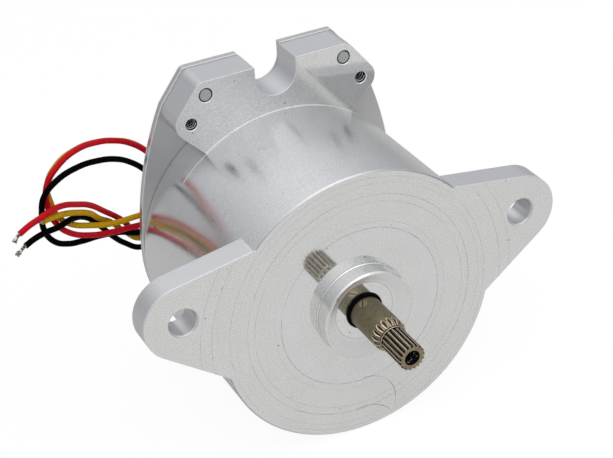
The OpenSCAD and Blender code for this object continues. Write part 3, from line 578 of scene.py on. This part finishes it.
# Thread in the shaft's end: the crests of the tapped hole, bright in random specks and dark
# between.
end_thread_material, here = new_material("end_thread", Metallic=0.9)
thread_specks = clouds(here, 1500, 2)
blend_colours(thread_specks > 0.56, (0.02, 0.018, 0.014, 1), (0.80, 0.76, 0.68, 1)).feed("Base Color")
(0.2 + 0.3 * thread_specks).feed("Roughness")
end_thread = thread_ridge(
    "shaft_end_thread", 0, 0, start_y=SHAFT_END_Y + 0.0006, end_y=-0.0236, wall_r=END_BORE_R, pitch=0.001
)
end_thread.data.materials.append(end_thread_material)
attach(end_thread, "rotor")

# Rubber parts: the shaft seal in the dish and the ring that seals the cover, moulded in black
# nitrile rubber with a dull, faintly cloudy skin.
rubber_material, here = new_material("black_rubber", Specular_IOR_Level=0.03)
skin = clouds(here, 700, 4)
blend_colours(skin, (0.001, 0.001, 0.001, 1), (0.004, 0.004, 0.004, 1)).feed("Base Color")
(0.5 + 0.25 * skin).feed("Roughness")
relief(skin, 0.2, 0.00005).feed("Normal")
dress(rubber_material, "shaft_seal", "cover_seal_ring")

# Lead grommet: a round rubber bush snapped into the cover's hole, domed behind, with a tapered
# sleeve round each lead where it leaves.
GROMMET_X, GROMMET_Z, GROMMET_R = -0.028, 0.006, 0.006
SLEEVE_Y = 0.0759
# Each lip of the bush: its side of the cover, how much wider it is, its height and its dome's.
bush_lips = ((1, 1.25, 0.0008, 0.0007), (-1, 1.2, 0.0009, 0.0006))


def soften(piece, width, turn):
    """Rounds a piece's edges over and shades it smooth up to an angle in degrees."""
    soft = piece.modifiers.new("soft edges", "BEVEL")
    soft.width = width
    soft.segments = 2
    soft.limit_method = "ANGLE"
    bpy.ops.object.modifier_apply(modifier="soft edges")
    bpy.ops.object.shade_smooth_by_angle(angle=math.radians(turn))


bpy.ops.mesh.primitive_cylinder_add(
    vertices=64, radius=GROMMET_R, depth=COVER_T, location=(0, 0, COVER_T / 2)
)
grommet = bpy.context.object
grommet.name = "lead_bush"
bpy.ops.object.mode_set(mode="EDIT")
bpy.ops.mesh.select_mode(type="FACE")
for sign, wider, height, crown in bush_lips:
    bpy.ops.mesh.select_all(action="DESELECT")
    bpy.ops.object.mode_set(mode="OBJECT")
    for face in grommet.data.polygons:
        face.select = face.normal.z * sign > 0.9 and len(face.vertices) > 8
    bpy.ops.object.mode_set(mode="EDIT")
    bpy.ops.mesh.extrude_region_move(TRANSFORM_OT_translate={"value": (0, 0, 0)})
    bpy.ops.transform.resize(value=(wider, wider, 1))
    bpy.ops.mesh.extrude_region_move(TRANSFORM_OT_translate={"value": (0, 0, sign * height)})
    for shrink in (0.93, 0.8, 0.6, 0.3):
        bpy.ops.mesh.extrude_region_move(TRANSFORM_OT_translate={"value": (0, 0, sign * crown * 0.25)})
        bpy.ops.transform.resize(value=(shrink, shrink, 1))
bpy.ops.mesh.select_all(action="SELECT")
bpy.ops.mesh.remove_doubles(threshold=0.000001)
bpy.ops.mesh.normals_make_consistent(inside=False)
bpy.ops.object.mode_set(mode="OBJECT")
soften(grommet, 0.0002, 35)
grommet.data.transform(Matrix.Translation((GROMMET_X, BACK_Y, GROMMET_Z)) @ POINT_BACK)
grommet.select_set(False)
grommet.data.materials.append(rubber_material)
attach(grommet, "housing")
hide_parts("lead_grommet")
for colour, route in lead_routes.items():
    bpy.ops.mesh.primitive_cone_add(
        vertices=40, radius1=0.0019, radius2=0.00135, depth=0.0026, end_fill_type="NOTHING"
    )
    sleeve = bpy.context.object
    sleeve.name = colour + "_sleeve"
    wall = sleeve.modifiers.new("wall", "SOLIDIFY")
    wall.thickness = 0.00022
    wall.offset = -1
    bpy.ops.object.modifier_apply(modifier="wall")
    soften(sleeve, 0.00008, 40)
    start = metres(route[0])
    sleeve.data.transform(Matrix.Translation((start.x, SLEEVE_Y, start.z)) @ POINT_BACK)
    sleeve.select_set(False)
    sleeve.data.materials.append(rubber_material)
    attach(sleeve, "housing")

# Cover screws: six socket head screws of zinc plated steel, knurled round the head, through the
# cover into the rim of the housing.
SCREWS = 6
SCREW_RING_R = 0.049
HEAD_R, HEAD_H, HEAD_SIDES = 0.00275, 0.003, 72
KNURL = 0.965
CHAMFER_W, CHAMFER_H = 0.00028, 0.00025
SHANK_R, SHANK_L, SHANK_TIP = 0.0015, 0.0105, 0.0004
SOCKET_R = 0.00144
screw_material, here = new_material("zinc_plate", Metallic=0.95)
film = clouds(here, 600, 4)
rounded, edge = worn_and_glinting_edges(here, 0.00015, 0.6)
plate = blend_colours(film, (0.34, 0.35, 0.37, 1), (0.55, 0.55, 0.55, 1))
blend_colours(edge, plate, (0.85, 0.85, 0.85, 1)).feed("Base Color")
(0.22 + 0.2 * film).feed("Roughness")
relief(film, 0.15, 0.00003, Normal=rounded).feed("Normal")
bpy.ops.mesh.primitive_cylinder_add(vertices=6, radius=SOCKET_R, depth=0.004, location=(0, 0, 0.0035))
socket_cutter = bpy.context.object
bpy.ops.object.select_all(action="DESELECT")
bpy.ops.mesh.primitive_cylinder_add(
    vertices=HEAD_SIDES, radius=HEAD_R, depth=HEAD_H, location=(0, 0, HEAD_H / 2)
)
screw = bpy.context.object
screw.name = "cover_screw_1"
bpy.ops.object.mode_set(mode="EDIT")
bpy.ops.mesh.select_mode(type="VERT")
bpy.ops.mesh.select_all(action="DESELECT")
bpy.ops.object.mode_set(mode="OBJECT")
for vertex in screw.data.vertices:
    corner = round(math.degrees(math.atan2(vertex.co.y, vertex.co.x)) * HEAD_SIDES / 360)
    vertex.select = corner % 2 == 0
bpy.ops.object.mode_set(mode="EDIT")
bpy.ops.transform.resize(value=(KNURL, KNURL, 1), center_override=(0, 0, HEAD_H / 2))
bpy.ops.mesh.select_mode(type="FACE")
bpy.ops.mesh.select_all(action="DESELECT")
bpy.ops.object.mode_set(mode="OBJECT")
for face in screw.data.polygons:
    face.select = len(face.vertices) > 8 and face.normal.z > 0.9
bpy.ops.object.mode_set(mode="EDIT")
bpy.ops.mesh.inset(thickness=CHAMFER_W)
bpy.ops.mesh.select_all(action="DESELECT")
bpy.ops.object.mode_set(mode="OBJECT")
for face in screw.data.polygons:
    face.select = len(face.vertices) > 8 and face.normal.z < -0.9
bpy.ops.object.mode_set(mode="EDIT")
bpy.ops.mesh.inset(thickness=HEAD_R - SHANK_R)
bpy.ops.mesh.extrude_region_move(TRANSFORM_OT_translate={"value": (0, 0, -SHANK_L)})
bpy.ops.mesh.extrude_region_move(TRANSFORM_OT_translate={"value": (0, 0, -SHANK_TIP)})
bpy.ops.transform.resize(value=(0.8, 0.8, 1))
bpy.ops.object.mode_set(mode="OBJECT")
for vertex in screw.data.vertices:
    if vertex.co.z > HEAD_H - 0.0001 and vertex.co.xy.length > HEAD_R - CHAMFER_W / 2:
        vertex.co.z = HEAD_H - CHAMFER_H
socket = screw.modifiers.new("socket", "BOOLEAN")
socket.object = socket_cutter
socket.operation = "DIFFERENCE"
socket.solver = "EXACT"
bpy.ops.object.modifier_apply(modifier="socket")
bpy.data.objects.remove(socket_cutter)
bpy.ops.object.shade_smooth_by_angle(angle=math.radians(20))
screw.select_set(False)
screw.data.materials.clear()
screw.data.materials.append(screw_material)
screws = [screw]
for index in range(1, SCREWS):
    screw = bpy.data.objects.new("cover_screw_%d" % (index + 1), screws[0].data.copy())
    scene.collection.objects.link(screw)
    screws.append(screw)
for index, screw in enumerate(screws):
    turn = math.radians(30 + 360 / SCREWS * index)
    place = (SCREW_RING_R * math.cos(turn), BACK_Y + COVER_T, SCREW_RING_R * math.sin(turn))
    screw.data.transform(Matrix.Translation(place) @ POINT_BACK @ Matrix.Rotation(turn, 4, "Z"))
    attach(screw, "housing")
    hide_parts("cover_screws")

# Coils: nine coils of enamelled copper wire, wound in four layers round the stator's teeth. The
# turns that can be seen are laid one by one; those inside are covered by them. Sizes are in
# millimetres.
COILS = 9
LAYERS = 4
ROWS = 8
WIRE_D = 1.05
FIRST_ROW_R = 30.56
FIRST_LAYER = 0.56
STACK_MIDDLE_Y = 38.5
FORMER_Y, FORMER_Z = 18.2, 5.3
enamel_material, here = new_material("enamelled_copper", Metallic=0.85, Coat_Weight=0.4, Coat_Roughness=0.15)
shade = clouds(here, 160, 3)
blend_colours(shade, (0.42, 0.13, 0.04, 1), (0.78, 0.34, 0.13, 1)).feed("Base Color")
(0.2 + 0.15 * shade).feed("Roughness")
winding = bpy.data.curves.new("coil_1_wire", "CURVE")
winding.dimensions = "3D"
winding.bevel_depth = WIRE_D / 2000
winding.bevel_resolution = 2
for layer in range(LAYERS):
    for row in range(ROWS):
        if layer < LAYERS - 1 and row not in (0, ROWS - 1):
            continue
        away = FIRST_LAYER + WIRE_D * layer
        out = FIRST_ROW_R + WIRE_D * row
        loop = []
        for corner, (side_y, side_z) in enumerate(((1, 1), (-1, 1), (-1, -1), (1, -1))):
            for step in range(5):
                turn = math.radians(90 * corner + 22.5 * step)
                loop.append((
                    out,
                    STACK_MIDDLE_Y + side_y * FORMER_Y + away * math.cos(turn),
                    side_z * FORMER_Z + away * math.sin(turn),
                ))
        spline = winding.splines.new("POLY")
        spline.points.add(len(loop) - 1)
        spline.use_cyclic_u = True
        for point, place in zip(spline.points, loop):
            point.co = (place[0] / 1000, place[1] / 1000, place[2] / 1000, 1)
coil = bpy.data.objects.new("wound_coil_1", winding)
scene.collection.objects.link(coil)
coil.select_set(True)
bpy.context.view_layer.objects.active = coil
bpy.ops.object.convert(target="MESH")
bpy.ops.object.shade_smooth()
coil.data.materials.clear()
coil.data.materials.append(enamel_material)
coil.select_set(False)
for index in range(COILS):
    if index:
        wound = bpy.data.objects.new("wound_coil_%d" % (index + 1), coil.data.copy())
        scene.collection.objects.link(wound)
        wound.data.transform(Matrix.Rotation(math.radians(-360 / COILS * index), 4, "Y"))
    else:
        wound = coil
    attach(wound, "housing")
    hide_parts("coil_%d" % (index + 1))

# Star ring: a bare copper ring behind the coils that joins the three phases' ends, tarnished
# where it was soldered.
star_material, here = new_material("star_copper", Metallic=0.9)
tarnish = clouds(here, 300, 4)
blend_colours(tarnish, (0.34, 0.15, 0.07, 1), (0.80, 0.42, 0.22, 1)).feed("Base Color")
(0.24 + 0.25 * tarnish).feed("Roughness")
dress(star_material, "star_ring")

# Stator and rotor stacks: stamped sheets of electrical steel, half a millimetre thick, whose cut
# edges show as fine lines round the stack.
SHEETS_PER_METRE = 2000
sheet_material, here = new_material("stacked_sheet", Metallic=0.85)
_, y, _ = places(here)
seams = (y * SHEETS_PER_METRE).math("PINGPONG", 0.5)
oil = clouds(here, 120, 4)
rounded, edge = worn_and_glinting_edges(here, 0.0002, 0.4)
iron = blend_colours(oil, (0.20, 0.21, 0.23, 1), (0.42, 0.43, 0.45, 1))
iron = blend_colours(0.6 * (seams < 0.07), iron, (0.08, 0.08, 0.09, 1))
blend_colours(edge, iron, (0.70, 0.70, 0.71, 1)).feed("Base Color")
(0.3 + 0.2 * oil).feed("Roughness")
relief(seams, 0.3, 0.00004, Normal=rounded).feed("Normal")
dress(sheet_material, "stator_core", "rotor_core")

# Magnets: six sintered magnets with a dark grey coating, glued round the rotor and ground to its
# radius, with their sharp corners rubbed pale.
magnet_material, here = new_material("magnet_coating", Metallic=0.6)
grain = clouds(here, 1300, 4)
rounded, edge = worn_and_glinting_edges(here, 0.0003, 0.5)
coat = blend_colours(grain, (0.055, 0.055, 0.065, 1), (0.15, 0.15, 0.165, 1))
blend_colours(edge, coat, (0.40, 0.40, 0.42, 1)).feed("Base Color")
(0.28 + 0.2 * grain).feed("Roughness")
relief(grain, 0.2, 0.00004, Normal=rounded).feed("Normal")
dress(magnet_material, *("magnet_%d" % (index + 1) for index in range(6)))

# Drawn and ground steel parts: the magnet sleeve, bearing rings, shields, circlip and spring. Each
# shows fine lines round the motor's axis.
steel_parts = (
    ("sleeve_tube", (0.42, 0.43, 0.44), (0.62, 0.63, 0.64), 0.26, 3600, ("magnet_sleeve",)),
    ("bearing_ring", (0.50, 0.51, 0.52), (0.72, 0.73, 0.74), 0.14, 7000,
     ("front_bearing_outer", "front_bearing_inner", "rear_bearing_outer", "rear_bearing_inner")),
    ("bearing_shield", (0.22, 0.22, 0.23), (0.42, 0.42, 0.43), 0.3, 5200,
     ("front_bearing_shields", "rear_bearing_shields")),
    ("bearing_cage", (0.34, 0.29, 0.20), (0.60, 0.53, 0.40), 0.3, 4200,
     ("front_bearing_cage", "rear_bearing_cage")),
    ("polished_ball", (0.70, 0.71, 0.72), (0.86, 0.87, 0.88), 0.05, 900,
     ("front_bearing_balls", "rear_bearing_balls")),
    ("spring_strip", (0.20, 0.20, 0.22), (0.44, 0.44, 0.46), 0.3, 5200,
     ("bearing_circlip", "preload_spring")),
)
for name, dark, light, roughness, fineness, parts in steel_parts:
    material, here = new_material(name, Metallic=0.95)
    x, y, z = places(here)
    drawn = streaks((distance(x, z) + y * 0.7) * fineness, 3)
    haze = clouds(here, 260, 4)
    rounded, edge = worn_and_glinting_edges(here, 0.00015, 0.5)
    steel = blend_colours(0.5 + 0.5 * (drawn - 0.5) + 0.5 * (haze - 0.5), dark + (1,), light + (1,))
    blend_colours(edge, steel, (0.86, 0.86, 0.86, 1)).feed("Base Color")
    (roughness * 0.8 + 0.4 * roughness * haze).feed("Roughness")
    relief(drawn, 0.1, 0.00002, Normal=rounded).feed("Normal")
    dress(material, *parts)

# End insulators: two cream nylon mouldings with a faintly pored skin, clipped to the ends of the
# stack to keep the coils off the steel.
nylon_material, here = new_material("cream_nylon")
veil = clouds(here, 150, 4)
pores = clouds(here, 3000, 2)
rounded, edge = worn_and_glinting_edges(here, 0.0003, 0.4)
cream = blend_colours(veil, (0.70, 0.66, 0.55, 1), (0.84, 0.81, 0.72, 1))
blend_colours(edge, cream, (0.92, 0.90, 0.84, 1)).feed("Base Color")
(0.38 + 0.2 * veil).feed("Roughness")
relief(pores, 0.15, 0.00003, Normal=rounded).feed("Normal")
dress(nylon_material, "front_insulator", "rear_insulator")

# Floor: a plain pale sheet just under the motor, which keeps its soft shadow. Mirrors see it
# darker towards the rear, so that polished metal keeps its grey.
FLOOR_Z = -0.0522


def ray_kinds(tree):
    """1 for rays from the camera, and 1 for rays from there, from mirrors and from glass."""
    camera_ray = Shade(tree).node("ShaderNodeLightPath", {}, {}, "Is Camera Ray")
    seen = camera_ray
    for ray in ("Is Glossy Ray", "Is Transmission Ray"):
        seen = seen.math("MAXIMUM", camera_ray.other(ray))
    return camera_ray, seen


bpy.ops.mesh.primitive_plane_add(size=6, location=(0, 0, FLOOR_Z))
floor = bpy.context.object
floor.name = "floor"
floor_material = bpy.data.materials.new("floor")
floor_material.use_nodes = True
tree = floor_material.node_tree
tree.nodes.clear()
camera_ray, seen = ray_kinds(tree)
paper = seen.node("ShaderNodeBsdfDiffuse", {}, {"Color": (0.80, 0.80, 0.80, 1)})
glow = seen.node("ShaderNodeEmission", {}, {"Color": (1, 1, 1, 1), "Strength": 1.09})
spot = seen.node("ShaderNodeTexCoord", {}, {}, "Object")
depth = spot.node("ShaderNodeSeparateXYZ", {}, {"Vector": spot}, "Y")
fall = {"From Min": 0.25, "From Max": -0.05, "To Min": 0.03, "To Max": 0.16}
near = depth.node("ShaderNodeMapRange", {}, {"Value": depth, **fall})
share = near * (seen - camera_ray) + 0.84 * camera_ray
floor_shader = seen.node("ShaderNodeMixShader", {}, {0: share, 1: paper, 2: glow})
floor_shader.node("ShaderNodeOutputMaterial", {}, {"Surface": floor_shader})
floor.data.materials.append(floor_material)
floor.select_set(False)

# Light: a tent of white cloth, grey low down and white overhead, and two large soft lamps in
# front of the motor, one on each side.
world = bpy.data.worlds.new("studio")
world.use_nodes = True
scene.world = world
tree = world.node_tree
tree.nodes.clear()
camera_ray, seen = ray_kinds(tree)
direction = seen.node("ShaderNodeTexCoord", {}, {}, "Generated")
rise = seen.node("ShaderNodeSeparateXYZ", {}, {"Vector": direction}, "Z")
tent_stops = (
    (0.0, (0.22, 0.225, 0.235, 1)), (0.10, (0.22, 0.225, 0.235, 1)), (0.28, (0.265, 0.27, 0.285, 1)),
    (0.46, (0.325, 0.335, 0.35, 1)), (0.60, (0.41, 0.415, 0.43, 1)), (0.70, (0.47, 0.475, 0.485, 1)),
    (0.82, (0.9, 0.9, 0.9, 1)), (1.0, (1, 1, 1, 1)),
)
tent = seen.node("ShaderNodeValToRGB", {"stops": tent_stops}, {"Fac": rise})
tent = blend_colours(camera_ray, tent, (0.5, 0.5, 0.5, 1))
surround = seen.node("ShaderNodeBackground", {}, {"Color": tent, "Strength": 0.6 + 1.4 * seen})
surround.node("ShaderNodeOutputWorld", {}, {"Surface": surround})
for name, place, size, power in (
    ("key", (-0.9, -1.1, 1.7), 2.4, 20),
    ("fill", (1.3, -0.8, 1.2), 2.0, 9),
):
    lamp = bpy.data.lights.new(name, "AREA")
    lamp.size = size
    lamp.energy = power
    lamp_object = bpy.data.objects.new(name, lamp)
    lamp_object.location = place
    lamp_object.visible_glossy = False
    lamp_object.rotation_mode = "QUATERNION"
    lamp_object.rotation_quaternion = (-Vector(place)).to_track_quat("-Z", "Y")
    scene.collection.objects.link(lamp_object)

scene.view_settings.view_transform = "Standard"
